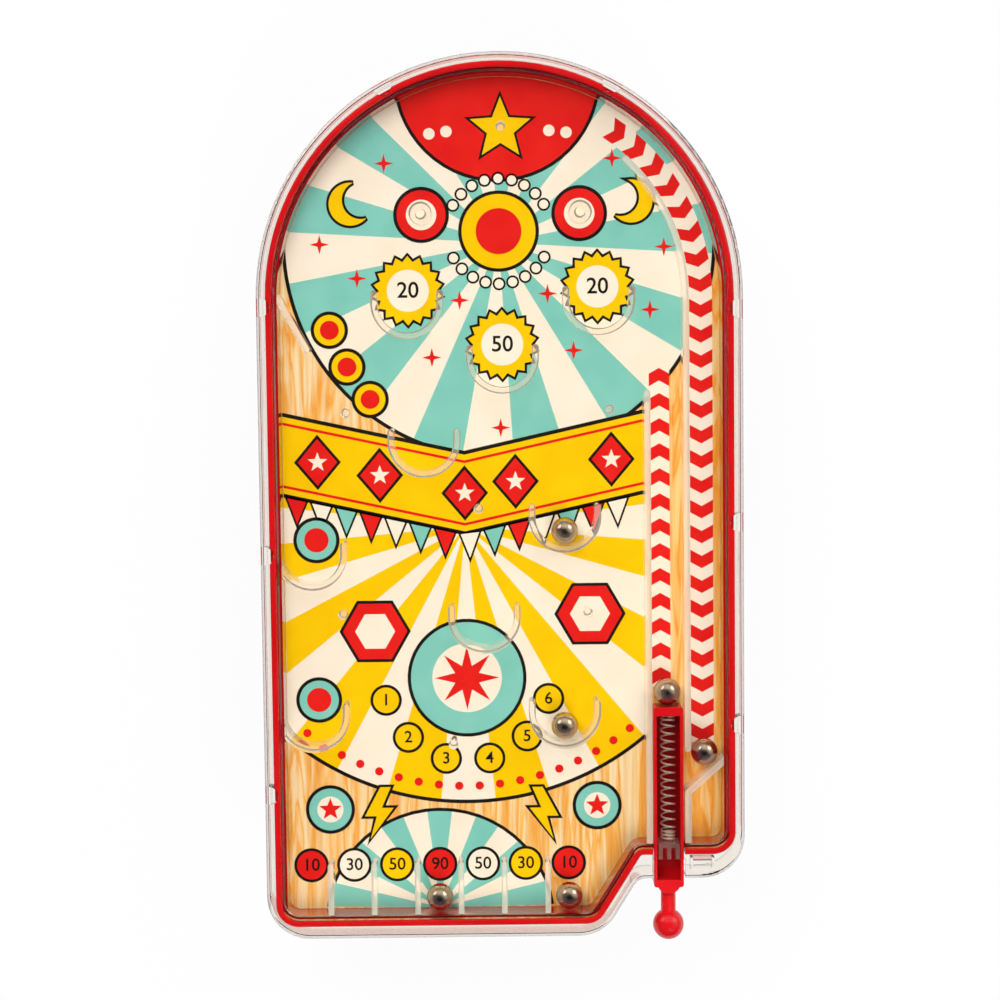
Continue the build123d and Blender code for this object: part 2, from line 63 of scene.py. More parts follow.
# %% Camera
camera_distance = 0.75
camera_lens = 75.26
camera_tilt = math.radians(4.04)
camera_roll = math.radians(0.648)
camera_aim = Vector((-0.00055, -0.00127, 0))
bpy.ops.object.select_all(action="DESELECT")
bpy.ops.object.camera_add()
camera = bpy.context.object
camera.name = "board_camera"
camera.data.lens = camera_lens
camera.location = camera_aim + camera_distance * Vector((0, math.sin(camera_tilt), math.cos(camera_tilt)))
camera.rotation_euler = (-camera_tilt, 0, 0)
camera.rotation_euler.rotate_axis("Z", -camera_roll)
bpy.context.scene.camera = camera
bpy.context.scene.view_settings.view_transform = "Standard"
print("camera at", [round(value, 3) for value in camera.location])

# %% [markdown]
# ## The studio
# A white table and a soft box beyond each end of the board suit a glossy toy. The flat cover would mirror the
# boxes as glare, so they light the board but stay out of reflections. What the plastic and the steel mirror is
# the room: a bright wall half way up beyond the arched end with two windows in it, and darkness near the table,
# overhead and on the other sides, most of all on the left. Clear edges and steel only show what surrounds them,
# so these changes from bright to dark draw their lines. The table looks white to the camera, to the clear
# plastic and to the steel, but still takes the board's shadow. It lies as far below the board as the stand
# reaches when it is folded out.

# %% Studio
def wire(tree, source, output, target, socket):
    """Joins one node's output to another node's input."""
    tree.links.new(source.outputs[output], target.inputs[socket])


def add_node(tree, kind, settings=None, **values):
    """Adds a node, with settings on the node itself and values on its sockets, where _ stands for a space."""
    node = tree.nodes.new(kind)
    for name, value in (settings or {}).items():
        setattr(node, name, value)
    for name, value in values.items():
        node.inputs[name.replace("_", " ")].default_value = value
    return node


def colour_ramp(tree, source, output, stops):
    """Turns a number from 0 to 1 into colours, given as (place, colour) stops."""
    ramp = add_node(tree, "ShaderNodeValToRGB")
    elements = ramp.color_ramp.elements
    while len(elements) < len(stops):
        elements.new(0.5)
    for element, (place, colour) in zip(elements, stops):
        element.position = place
        element.color = (*colour, 1)
    wire(tree, source, output, ramp, "Fac")
    return ramp


def blend(tree, first, second, how, share):
    """Blends the colours of two nodes and gives the node that holds the blend."""
    node = add_node(tree, "ShaderNodeMix", {"data_type": "RGBA", "blend_type": how})
    node.inputs[0].default_value = share
    wire(tree, first, "Color" if "Color" in first.outputs else 2, node, 6)
    wire(tree, second, "Color", node, 7)
    return node


def soft_box(name, place, size, watts):
    """A square lamp that looks at the middle of the board."""
    bpy.ops.object.light_add(type="AREA", location=place)
    lamp = bpy.context.object
    lamp.name = name
    lamp.data.size = size
    lamp.data.energy = watts
    lamp.rotation_euler = (-Vector(place)).to_track_quat("-Z", "Y").to_euler()
    lamp.visible_glossy = lamp.visible_transmission = False
    return lamp


bpy.ops.object.select_all(action="DESELECT")
box_size = 0.6
soft_box("arch_box", (-0.30, 0.55, 1.00), box_size, 8.0)
soft_box("plunger_box", (0.30, -0.70, 0.95), box_size, 6.9)

room = bpy.data.worlds.new("soft_room")
bpy.context.scene.world = room
room.use_nodes = True
tree = room.node_tree
direction = add_node(tree, "ShaderNodeTexCoord")
parts = add_node(tree, "ShaderNodeSeparateXYZ")
wire(tree, direction, "Generated", parts, "Vector")
ring = [(0.0, 0.02), (0.20, 0.04), (0.34, 0.72), (0.66, 0.84), (0.88, 0.52), (0.955, 0.09), (1.0, 0.08)]
walls = colour_ramp(tree, parts, "Z", [(place, (level, level, level)) for place, level in ring])
rightwards = add_node(tree, "ShaderNodeMath", {"operation": "MULTIPLY_ADD"})
sideways_share = 0.55
rightwards.inputs[1].default_value = sideways_share
wire(tree, parts, "X", rightwards, 0)
wire(tree, parts, "Y", rightwards, 2)
ends = colour_ramp(tree, rightwards, 0, [
    (0.0, (0.10, 0.10, 0.15)), (0.25, (0.40, 0.40, 0.43)), (0.6, (1, 0.99, 0.97)),
])
room_light = blend(tree, walls, ends, "MULTIPLY", 1.0)
window_light = (1.8, 1.77, 1.71)
window_ways = ((-0.70, 0.60, 0.39), (0.66, 0.56, 0.50))
for towards in window_ways:
    facing = add_node(tree, "ShaderNodeVectorMath", {"operation": "DOT_PRODUCT"})
    wire(tree, direction, "Generated", facing, 0)
    facing.inputs[1].default_value = Vector(towards).normalized()
    window = colour_ramp(tree, facing, "Value", [(0.945, (0, 0, 0)), (0.978, window_light)])
    room_light = blend(tree, room_light, window, "ADD", 1.0)
wire(tree, room_light, 2, tree.nodes["Background"], "Color")

table_size, table_drop = 60, 0.05
bpy.ops.mesh.primitive_plane_add(size=table_size, location=(0, 0, -table_drop))
table_top = bpy.context.object
table_top.name = "white_table"
white = bpy.data.materials.new("white_table")
white.use_nodes = True
tree = white.node_tree
paper = tree.nodes["Principled BSDF"]
paper.inputs["Roughness"].default_value = 0.8
paper.inputs["Base Color"].default_value = (0.95, 0.95, 0.95, 1)
glow = add_node(tree, "ShaderNodeEmission", Color=(1, 1, 1, 1), Strength=1.0)
path = add_node(tree, "ShaderNodeLightPath")
mirrored = add_node(tree, "ShaderNodeMath", {"operation": "MAXIMUM"})
wire(tree, path, "Is Glossy Ray", mirrored, 0)
wire(tree, path, "Is Transmission Ray", mirrored, 1)
seen = add_node(tree, "ShaderNodeMath", {"operation": "MAXIMUM"})
wire(tree, path, "Is Camera Ray", seen, 0)
wire(tree, mirrored, 0, seen, 1)
share = add_node(tree, "ShaderNodeMath", {"operation": "MULTIPLY"})
wire(tree, seen, 0, share, 0)
glow_share = 0.94
share.inputs[1].default_value = glow_share
table_mix = add_node(tree, "ShaderNodeMixShader")
wire(tree, share, 0, table_mix, "Fac")
wire(tree, paper, "BSDF", table_mix, 1)
wire(tree, glow, "Emission", table_mix, 2)
wire(tree, table_mix, "Shader", tree.nodes["Material Output"], "Surface")
table_top.data.materials.append(white)
print("two soft boxes, a room and a white table")

# %% [markdown]
# ## Red plastic
# The tray, the plunger and the folding stand are glossy red mouldings. One even red would look like paint, so
# the colour drifts a little with the melt, a fine grain lifts the surface, and handling has dulled the gloss
# in soft patches. All three come from noise in object coordinates, which are metres here, so a noise scale
# of 900 is a grain about a millimetre wide.

# %% Red plastic
def tint(red, green, blue):
    """A screen colour from 0 to 255 as the linear colour that a shader takes."""
    linear = []
    for value in (red, green, blue):
        share = value / 255
        linear.append(share / 12.92 if share <= 0.04045 else ((share + 0.055) / 1.055) ** 2.4)
    return tuple(linear)


def new_finish(name, roughness):
    """A material with its tree, its shader and its object coordinates."""
    finish = bpy.data.materials.new(name)
    finish.use_nodes = True
    tree = finish.node_tree
    shader = tree.nodes["Principled BSDF"]
    shader.inputs["Roughness"].default_value = roughness
    return finish, tree, shader, add_node(tree, "ShaderNodeTexCoord")


def noise(tree, places, scale, detail=3.0, stretch=(1, 1, 1), bend=0.0):
    """Noise on object coordinates. A stretch below 1 draws it out along that axis, and a bend makes it swirl."""
    mapping = add_node(tree, "ShaderNodeMapping", Scale=stretch)
    wire(tree, places, "Object", mapping, "Vector")
    texture = add_node(tree, "ShaderNodeTexNoise", Scale=scale, Detail=detail, Distortion=bend)
    wire(tree, mapping, "Vector", texture, "Vector")
    return texture


def vary_roughness(tree, shader, source, low, high):
    """Roughness that runs from low to high with a texture."""
    spread = add_node(tree, "ShaderNodeMapRange")
    spread.inputs["To Min"].default_value = low
    spread.inputs["To Max"].default_value = high
    wire(tree, source, "Fac", spread, "Value")
    wire(tree, spread, "Result", shader, "Roughness")


def raise_grain(tree, shader, source, strength, depth):
    """A bump of that depth in metres."""
    bump = add_node(tree, "ShaderNodeBump", Strength=strength, Distance=depth)
    wire(tree, source, "Fac", bump, "Height")
    wire(tree, bump, "Normal", shader, "Normal")


def dress(names, finish):
    """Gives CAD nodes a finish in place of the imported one."""
    for name in names:
        nodes[name].data.materials.clear()
        nodes[name].data.materials.append(finish)


red_plastic, tree, shader, places = new_finish("red_plastic", 0.3)
melt = noise(tree, places, 38.0)
melt_colour = colour_ramp(tree, melt, "Fac", [(0.3, tint(208, 14, 22)), (0.7, tint(226, 23, 29))])
wire(tree, melt_colour, "Color", shader, "Base Color")
vary_roughness(tree, shader, noise(tree, places, 120.0, 5.0), 0.14, 0.3)
raise_grain(tree, shader, noise(tree, places, 900.0), 0.12, 0.0002)
red_nodes = ["base_tray", "plunger", "stand_leg"]
dress(red_nodes, red_plastic)
print("red plastic on", ", ".join(red_nodes))

# %% [markdown]
# ## The plunger's trough
# The plunger is a long open trough with the spring in it. Little light gets in past the spring and the narrow
# walls, so the red looks much deeper inside. That shade is painted into a copy of the finish: three limits,
# across, along and up, each give a share from 0 to 1, and only where all three hold is the painted shade laid
# over the red.

# %% Painted shade in the trough
spring_low, spring_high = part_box("plunger_spring")
plunger_low, plunger_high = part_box("plunger")
spring_middle = (spring_low + spring_high) / 2
trough_wall = 1.3 * MM
trough_half = (plunger_high.x - plunger_low.x) / 2 - trough_wall
painted_shade_red = red_plastic.copy()
painted_shade_red.name = "painted_shade_red_plastic"
tree = painted_shade_red.node_tree
shader = tree.nodes["Principled BSDF"]
from_middle = add_node(tree, "ShaderNodeMapping", Location=(-spring_middle.x, 0, 0))
wire(tree, tree.nodes["Texture Coordinate"], "Object", from_middle, "Vector")
to_either_side = add_node(tree, "ShaderNodeVectorMath", {"operation": "ABSOLUTE"})
wire(tree, from_middle, "Vector", to_either_side, 0)
measures = add_node(tree, "ShaderNodeSeparateXYZ")
wire(tree, to_either_side, "Vector", measures, "Vector")


def limit(axis, outer, inner):
    """A share that is 0 at the outer measure along an axis and 1 at the inner one."""
    share = add_node(tree, "ShaderNodeMapRange")
    share.inputs["From Min"].default_value = outer
    share.inputs["From Max"].default_value = inner
    wire(tree, measures, axis, share, "Value")
    return share


def both(first, second):
    """The product of two shares."""
    product = add_node(tree, "ShaderNodeMath", {"operation": "MULTIPLY"})
    wire(tree, first, 0, product, 0)
    wire(tree, second, 0, product, 1)
    return product


across = limit("X", trough_half, trough_half - 0.2 * MM)
along = limit("Y", -spring_low.y + 16 * MM, -spring_low.y + 8 * MM)
upwards = limit("Z", plunger_high.z - 1.5 * MM, plunger_high.z - 4 * MM)
inside = both(both(across, along), upwards)
# Painted shade: the red is darkened inside the trough, where little light gets in.
painted_shade_tone = colour_ramp(tree, inside, 0, [(0.0, (1, 1, 1)), (1.0, (0.44, 0.16, 0.24))])
melt_tone = shader.inputs["Base Color"].links[0].from_node
wire(tree, blend(tree, melt_tone, painted_shade_tone, "MULTIPLY", 1.0), 2, shader, "Base Color")
dress(["plunger"], painted_shade_red)
print("trough", round(2 * trough_half / MM, 1), "mm wide")

# %% [markdown]
# ## Clear plastic
# The cover and every guide, cup and peg under it are one clear polystyrene, slightly warm. It refracts, so the
# print bends through the walls as it does on the real board. Light that only casts a shadow passes straight
# through with a little loss, because refracted light would reach the card as noise. The guides are moulded
# deep and narrow and come out faintly milky, so their finish scatters a share of the light. A faint wave
# stands for the flow of the melt, and hairline scuffs vary the gloss.

# %% Clear plastic
def make_clear(name, milk):
    """Clear plastic that scatters the given share of the light."""
    finish, tree, shader, places = new_finish(name, 0.02)
    shader.inputs["Base Color"].default_value = (0.99, 0.95, 0.89, 1)
    shader.inputs["Transmission Weight"].default_value = 1 - milk
    shader.inputs["IOR"].default_value = 1.59
    vary_roughness(tree, shader, noise(tree, places, 260.0, 6.0, (1, 0.1, 1)), 0.0, 0.05)
    raise_grain(tree, shader, noise(tree, places, 42.0, 2.0), 0.1, 0.0004)
    light_path = add_node(tree, "ShaderNodeLightPath")
    passing = add_node(tree, "ShaderNodeBsdfTransparent", Color=(0.97, 0.955, 0.935, 1))
    mix = add_node(tree, "ShaderNodeMixShader")
    wire(tree, light_path, "Is Shadow Ray", mix, "Fac")
    wire(tree, shader, "BSDF", mix, 1)
    wire(tree, passing, "BSDF", mix, 2)
    wire(tree, mix, "Shader", tree.nodes["Material Output"], "Surface")
    return finish


opaque = red_nodes + ["playfield_card", "plunger_spring"]
clear_nodes = [name for name in nodes if name not in opaque and not name.startswith("ball_")]
wall_nodes = ["lane_divider", "shooter_lane_wall", "pocket_dividers", "feed_ramp", "left_deflector"]
dress(clear_nodes, make_clear("clear_cups", 0.14))
dress(wall_nodes, make_clear("clear_walls", 0.3))
dress(["spring_stop"], make_clear("clear_stop", 0.06))
dress(["clear_cover"], make_clear("clear_cover", 0.0))
print(len(clear_nodes), "clear nodes")

# %% [markdown]
# ## The card's wood print
# The card is printed all over with a warm wood grain, and the coloured zones lie on it. The grain could be an
# image, but noise drawn out along the board does it without a file: one that swirls for the flames of the
# grain, a broad one for the boards' tone, and a fine one for the fibres. The lanes on the right are stained
# a little deeper.

# %% Wood print
print_sheen = 0.2
stain_from, stain_to = 0.040, 0.052
wood_print, tree, shader, places = new_finish("wood_print", 0.42)
shader.inputs["Specular IOR Level"].default_value = print_sheen
flames = noise(tree, places, 130.0, 3.0, (1, 0.09, 1), 1.8)
flame_colour = colour_ramp(tree, flames, "Fac", [
    (0.34, tint(255, 242, 210)), (0.45, tint(255, 232, 180)), (0.50, tint(251, 184, 84)),
    (0.55, tint(254, 208, 128)), (0.64, tint(255, 238, 198)),
])
boards = noise(tree, places, 26.0, 1.0, (1, 0.1, 1))
board_tone = colour_ramp(tree, boards, "Fac", [(0.35, tint(255, 234, 206)), (0.65, tint(255, 255, 255))])
fibre = noise(tree, places, 640.0, 4.0, (1, 0.03, 1))
fibre_tone = colour_ramp(tree, fibre, "Fac", [(0.36, tint(244, 228, 206)), (0.58, tint(255, 255, 255))])
across = add_node(tree, "ShaderNodeSeparateXYZ")
wire(tree, places, "Object", across, "Vector")
lane_edge = add_node(tree, "ShaderNodeMapRange")
lane_edge.inputs["From Min"].default_value = stain_from
lane_edge.inputs["From Max"].default_value = stain_to
wire(tree, across, "X", lane_edge, "Value")
lane_tone = colour_ramp(tree, lane_edge, "Result", [(0.0, (1, 1, 1)), (1.0, tint(255, 240, 206))])
toned = blend(tree, flame_colour, board_tone, "MULTIPLY", 0.6)
stained = blend(tree, toned, lane_tone, "MULTIPLY", 1.0)
grain = blend(tree, stained, fibre_tone, "MULTIPLY", 0.9)
wire(tree, grain, 2, shader, "Base Color")
raise_grain(tree, shader, noise(tree, places, 1500.0), 0.05, 0.0001)
dress(["playfield_card"], wood_print)
print("wood grain on the card")

# %% [markdown]
# ## Inks
# Five flat inks carry the print. Litho ink is never quite even on card, so each one drifts a little lighter
# and darker and its sheen varies with the card's tooth. The sheen is weak, because it greys deep colours.

# %% Inks
def make_ink(name, colour, darker):
    """A satin ink that drifts between two close tones."""
    finish, tree, shader, places = new_finish(name, 0.4)
    shader.inputs["Specular IOR Level"].default_value = print_sheen
    drift = noise(tree, places, 90.0, 6.0)
    tone = colour_ramp(tree, drift, "Fac", [(0.3, tint(*darker)), (0.7, tint(*colour))])
    wire(tree, tone, "Color", shader, "Base Color")
    vary_roughness(tree, shader, noise(tree, places, 400.0), 0.34, 0.5)
    raise_grain(tree, shader, noise(tree, places, 1500.0), 0.05, 0.0001)
    return finish


inks = {
    "red": make_ink("red_ink", (238, 38, 32), (226, 28, 27)),
    "yellow": make_ink("yellow_ink", (255, 214, 4), (250, 204, 0)),
    "turquoise": make_ink("turquoise_ink", (138, 216, 208), (124, 206, 198)),
    "cream": make_ink("cream_ink", (255, 250, 240), (252, 244, 228)),
    "black": make_ink("black_ink", (34, 28, 26), (22, 18, 18)),
}
print(len(inks), "inks")

# %% [markdown]
# ## How the print is cut
# Each coloured shape is a flat filled curve, drawn from its formula in millimetres, made a mesh, and given a
# hair's thickness so that it is a closed body. The shapes lie in layers a fiftieth of a millimetre apart, as
# a printer lays one ink over another. One curve can hold many outlines, and one inside another is a hole.

# %% Helpers for the print
card_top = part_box("playfield_card")[1].z
layer_step = 0.02 * MM
ink_thickness = 0.016 * MM
size_to_height, number_weight = 1.4, 0.016
sheets = {ink: [] for ink in inks}


def settle_sheet(sheet, ink, layer, place=(0, 0)):
    """Makes a flat curve or text a closed mesh and lays it in its layer."""
    bpy.ops.object.select_all(action="DESELECT")
    sheet.select_set(True)
    bpy.context.view_layer.objects.active = sheet
    bpy.ops.object.convert(target="MESH")
    sheet = bpy.context.object
    sheet.location = (place[0] * MM, place[1] * MM, card_top + layer_step * (layer + 0.6))
    bpy.ops.object.transform_apply()
    bpy.ops.object.mode_set(mode="EDIT")
    bpy.ops.mesh.select_all(action="SELECT")
    bpy.ops.mesh.remove_doubles(threshold=ink_thickness / 8)
    bpy.ops.mesh.normals_make_consistent(inside=False)
    bpy.ops.object.mode_set(mode="OBJECT")
    sheets[ink].append(sheet)


def lay_shapes(ink, layer, outlines):
    """Closed outlines in millimetres become one sheet of ink."""
    drawing = bpy.data.curves.new(f"{ink}_shapes", "CURVE")
    drawing.dimensions = "2D"
    drawing.fill_mode = "BOTH"
    drawing.extrude = ink_thickness / 2
    for outline in outlines:
        spline = drawing.splines.new("POLY")
        spline.points.add(len(outline) - 1)
        for point, (x, y) in zip(spline.points, outline):
            point.co = (x * MM, y * MM, 0, 1)
        spline.use_cyclic_u = True
    sheet = bpy.data.objects.new(drawing.name, drawing)
    bpy.context.collection.objects.link(sheet)
    settle_sheet(sheet, ink, layer)


def lay_number(ink, layer, number, x, y, height):
    """A plain number, its middle at x, y."""
    bpy.ops.object.select_all(action="DESELECT")
    bpy.ops.object.text_add()
    text = bpy.context.object
    text.data.body = str(number)
    text.data.size = height * size_to_height * MM
    text.data.offset = number_weight * height * MM
    text.data.align_x = "CENTER"
    text.data.align_y = "CENTER"
    text.data.extrude = ink_thickness / 2
    settle_sheet(text, ink, layer, (x, y))


def around(x, y, radius, angle):
    """The point at that radius and angle, in degrees, around x, y."""
    return x + radius * math.cos(math.radians(angle)), y + radius * math.sin(math.radians(angle))


def disc(x, y, radius, sides=48):
    """A circle, or with few sides a polygon that stands on its flat."""
    return [around(x, y, radius, 270 + 360 * (side + 0.5) / sides) for side in range(sides)]


def star(x, y, outer, inner, points):
    """A star with its first point up."""
    return [around(x, y, inner if step % 2 else outer, 90 + 180 * step / points) for step in range(2 * points)]


def lozenge(x, y, half_width, half_height):
    """A diamond."""
    return [(x - half_width, y), (x, y - half_height), (x + half_width, y), (x, y + half_height)]


def outset(outline, edge):
    """The outline with every side moved outwards by edge. A sharp corner moves at most four times as far."""
    sides = list(zip(outline, outline[1:] + outline[:1]))
    turn = math.copysign(1, sum(x0 * y1 - x1 * y0 for (x0, y0), (x1, y1) in sides))
    ways = [turn * Vector((y1 - y0, x0 - x1)).normalized() for (x0, y0), (x1, y1) in sides]
    moved = []
    for corner, before, after in zip(outline, ways[-1:] + ways[:-1], ways):
        moved.append(tuple(Vector(corner) + edge * (before + after) / max(1 + before.dot(after), 0.125)))
    return moved


def arc(x, y, radius, first, last, steps=24):
    """Points along an arc."""
    return [around(x, y, radius, first + (last - first) * step / steps) for step in range(steps + 1)]


print("card top at", round(card_top / MM, 2), "mm")

# %% [markdown]
# ## The sun over the arch
# Broad rays fill the arched end. They leave a sun and stop at the board's wall, so each ray is a fan of
# points, as far out as the wall or a circle lets it go in that direction.

# %% Sun rays
field_edge = 77.2
arch_y = 70.5
zone_edge = 1.3
sun_x, sun_y, sun_reach, sun_right = 0.0, 90.0, 75.0, 64.7


def clear_way(x, y, angle, limit, right):
    """How far a ray runs from x, y before it meets the wall, the lane on the right, or its limit."""
    across, along = math.cos(math.radians(angle)), math.sin(math.radians(angle))
    side = right if across > 0 else -field_edge
    to_side = (side - x) / across if abs(across) > 0.001 else 10 * field_edge
    if y + along * to_side <= arch_y:
        return min(limit, to_side)
    middle = x * across + (y - arch_y) * along
    to_arch = -middle + math.sqrt(middle * middle - x * x - (y - arch_y) ** 2 + field_edge**2)
    return min(limit, to_arch)


def fan(x, y, first, last, limit, right):
    """One ray as a filled fan of points."""
    steps = 12 + int(last - first)
    angles = [first + (last - first) * step / steps for step in range(steps + 1)]
    return [(x, y)] + [around(x, y, clear_way(x, y, angle, limit, right), angle) for angle in angles]


sun_rays = 26
ray_width = 360 / sun_rays
lay_shapes("black", 0, [fan(sun_x, sun_y, 0, 360, sun_reach + zone_edge, sun_right)[1:-1]])
lay_shapes("cream", 1, [fan(sun_x, sun_y, 0, 360, sun_reach, sun_right)[1:-1]])
lay_shapes("turquoise", 2, [
    fan(sun_x, sun_y, ray_width * (ray - 0.25), ray_width * (ray + 0.75), sun_reach, sun_right)
    for ray in range(0, sun_rays, 2)
])
print(sun_rays, "sun rays")

# %% [markdown]
# ## The crest at the top
# A red half round hangs from the middle of the arch and holds a large star round the uppermost peg. Its upper
# edge is the wall's own arc and its lower edge is a circle, so the two arcs meet where those circles cross.

# %% Crest
crest_y, crest_reach, crest_edge = 147.3, 35.0, 1.2


def crest(radius):
    """The part of a circle around the arch's top that lies inside the wall."""
    rise = crest_y - arch_y
    along = (field_edge**2 - radius**2 + rise**2) / (2 * rise)
    turn = math.degrees(math.acos(along / field_edge))
    dip = math.degrees(math.asin((along - rise) / radius))
    return arc(0, crest_y, radius, dip, -180 - dip) + arc(0, arch_y, field_edge, 90 + turn, 90 - turn)


lay_shapes("black", 3, [crest(crest_reach + crest_edge)])
lay_shapes("red", 4, [crest(crest_reach)])
lay_shapes("cream", 5, [disc(crest_x, 131.0 - abs(crest_x) * 0.12, 2.0) for crest_x in (-24, -18, 18, 24)])
crest_star = star(1.0, 129.6, 11.2, 4.9, 5)
lay_shapes("black", 5, [outset(crest_star, 0.8)])
lay_shapes("yellow", 6, [crest_star])
print("crest reaches down to", round(crest_y - crest_reach - crest_edge, 1), "mm")

# %% [markdown]
# ## The fan below
# A second, wider fan in yellow and cream opens downwards from the middle of the board and ends in an arc over
# the wood.

# %% Lower fan
fan_x, fan_y, fan_reach, fan_right = -13.0, -10.0, 98.0, 51.1
fan_first, fan_last, fan_rays = 162.0, 378.0, 19
fan_width = (fan_last - fan_first) / fan_rays
lay_shapes("black", 0, [fan(fan_x, fan_y, fan_first, fan_last, fan_reach + zone_edge, fan_right)])
lay_shapes("cream", 1, [fan(fan_x, fan_y, fan_first, fan_last, fan_reach, fan_right)])
lay_shapes("yellow", 2, [
    fan(fan_x, fan_y, fan_first + fan_width * ray, fan_first + fan_width * (ray + 1), fan_reach, fan_right)
    for ray in range(0, fan_rays, 2)
])
print(fan_rays, "fan rays")

# %% [markdown]
# ## Chevrons in the lanes
# Two striped lanes tell the player which way the ball runs: up beside the plunger, and down the long curved
# return lane. Each chevron has six corners. In the return lane they are measured along the lane, and a
# formula wraps that length round the arch.

# %% Chevrons
chevron_pitch = 8.87
return_middle, return_half = 70.85, 4.05
shooter_middle, shooter_half = 56.0, 3.6


def along_return(across, run):
    """A place in the return lane: run is the height on the straight, and length along the arch after it."""
    if run <= arch_y:
        return return_middle + across, run
    turn = (run - arch_y) / return_middle
    return (return_middle + across) * math.cos(turn), arch_y + (return_middle + across) * math.sin(turn)


def along_shooter(across, run):
    """A place in the shooter lane."""
    return shooter_middle + across, run


def chevron(lane, half, run, point):
    """A bent stripe across a lane. A point below zero points down."""
    thick = chevron_pitch / 2
    lower = [(-half, run), (0, run + point), (half, run)]
    upper = [(across, height + thick) for across, height in reversed(lower)]
    return [lane(across, height) for across, height in lower + upper]


return_low, return_high = -88.0, 146.0
shooter_low, shooter_high = -68.0, 50.0
return_steps = [return_low + (return_high - return_low) * step / 90 for step in range(91)]
return_strip = [along_return(-return_half, run) for run in return_steps]
return_strip += [along_return(return_half, run) for run in reversed(return_steps)]
shooter_strip = [along_shooter(-shooter_half, shooter_low), along_shooter(shooter_half, shooter_low)]
shooter_strip += [along_shooter(shooter_half, shooter_high), along_shooter(-shooter_half, shooter_high)]
lay_shapes("cream", 3, [return_strip, shooter_strip])
return_count = int((return_high - return_low) / chevron_pitch)
shooter_count = int((shooter_high - shooter_low) / chevron_pitch)
lay_shapes("red", 4, [
    chevron(along_return, return_half, return_low + 2.4 + chevron_pitch * step, -2.2)
    for step in range(return_count)
])
lay_shapes("red", 4, [
    chevron(along_shooter, shooter_half, shooter_low + 0.6 + chevron_pitch * step, 2.0)
    for step in range(shooter_count)
])
print(return_count + shooter_count, "chevrons")

# %% [markdown]
# ## The bent banner
# A bold yellow banner crosses the board between the two fans. It dips in the middle like a bunting, and
# carries a row of diamonds with stars in them.

# %% Banner
banner_left, banner_right, banner_dip, banner_slope = -field_edge, fan_right, fan_x, 0.22
banner_low, banner_high = -13.0, 17.0


def banner_edge(x, height):
    """Height of a line that follows the banner."""
    return height + banner_slope * abs(x - banner_dip)


def banner_band(low, high):
    """A band of the banner between two heights."""
    places = (banner_left, banner_dip, banner_right)
    return [(x, banner_edge(x, low)) for x in places] + [(x, banner_edge(x, high)) for x in reversed(places)]


lay_shapes("black", 3, [banner_band(banner_low, banner_high)])
lay_shapes("yellow", 4, [banner_band(-11.6, 15.6)])
lay_shapes("red", 5, [banner_band(-9.6, -8.6), banner_band(12.6, 13.6)])
diamond_places = [(x, banner_edge(x, 2.0)) for x in (-65, -43, -13, 5, 39)]
diamonds = [lozenge(x, y, 7.0, 8.3) for x, y in diamond_places]
lay_shapes("black", 5, [outset(diamond, 1.0) for diamond in diamonds])
lay_shapes("red", 6, diamonds)
lay_shapes("cream", 7, [star(x, y, 3.6, 1.5, 5) for x, y in diamond_places])
print(len(diamond_places), "diamonds")

# %% [markdown]
# ## Bunting, moons and bolts
# Small motifs fill the zones as they do on such boards: pennants hang from the banner, two moons and some
# sparkles go with the sun, and bolts strike on the wood below. Each outline is worked out once for its black
# edge, a little larger, and once for its colour.

# %% Bunting
pennant_places = [-72.6 + 8.75 * step for step in range(14)]


def pennant(x, half, drop):
    """A pointed flag that hangs from the banner's lower edge."""
    top = [(x + side, banner_edge(x + side, banner_low)) for side in (-half, half)]
    return top + [(x, banner_edge(x, banner_low) - drop)]


pennants = [pennant(x, 3.3, 8.4) for x in pennant_places]
lay_shapes("black", 3, [outset(flag, 0.7) for flag in pennants])
for order, ink in enumerate(("red", "cream", "turquoise")):
    lay_shapes(ink, 4, pennants[order::3])
print(len(pennant_places), "pennants")

# %% Moons, sparkles and bolts
def crescent(x, y, radius, shift, hollow, turn):
    """A disc without the part that a second circle, moved along the turn, covers."""
    tip = math.degrees(math.acos((radius**2 + shift**2 - hollow**2) / (2 * radius * shift)))
    bend = math.degrees(math.acos((radius * math.cos(math.radians(tip)) - shift) / hollow))
    hollow_x, hollow_y = around(x, y, shift, turn)
    outside = arc(x, y, radius, turn + tip, turn + 360 - tip, 40)
    return outside + arc(hollow_x, hollow_y, hollow, turn + 360 - bend, turn + bend, 32)


def bolt(x, y, size, lean):
    """A flash of lightning."""
    corners = ((0.05, 1.0), (-0.55, -0.12), (-0.1, -0.12), (-0.35, -1.0), (0.55, 0.2), (0.1, 0.2), (0.45, 1.0))
    return [(x + lean * size * across, y + size * up) for across, up in corners]


moons = [(-52.0, 104.0, 20.0), (46.6, 104.0, 160.0)]
moon_shapes = [crescent(x, y, 7.5, 4.0, 6.6, turn) for x, y, turn in moons]
lay_shapes("black", 4, [outset(moon, 0.9) for moon in moon_shapes])
lay_shapes("yellow", 5, moon_shapes)
sparkles = [
    (-40, 118), (-63, 90), (40, 119), (58, 88), (-14, 70), (17, 72),
    (-50, 78), (53, 66), (-24, 50), (26, 52), (0, 25),
]
lay_shapes("red", 5, [star(x, y, 3.4, 1.0, 4) for x, y in sparkles])
bolts = [(-45.0, -112.5, 1), (14.0, -113.0, -1)]
bolt_shapes = [bolt(x, y, 9.4, lean) for x, y, lean in bolts]
lay_shapes("black", 4, [outset(flash, 0.9) for flash in bolt_shapes])
lay_shapes("yellow", 5, bolt_shapes)
beads = [around(fan_x, fan_y, 93.0, 214 + 4.5 * step) for step in range(26)]
lay_shapes("red", 4, [disc(x, y, 1.5, 24) for x, y in beads if -75 < x < 48])
print(len(moons), "moons,", len(sparkles), "sparkles,", len(bolts), "bolts")

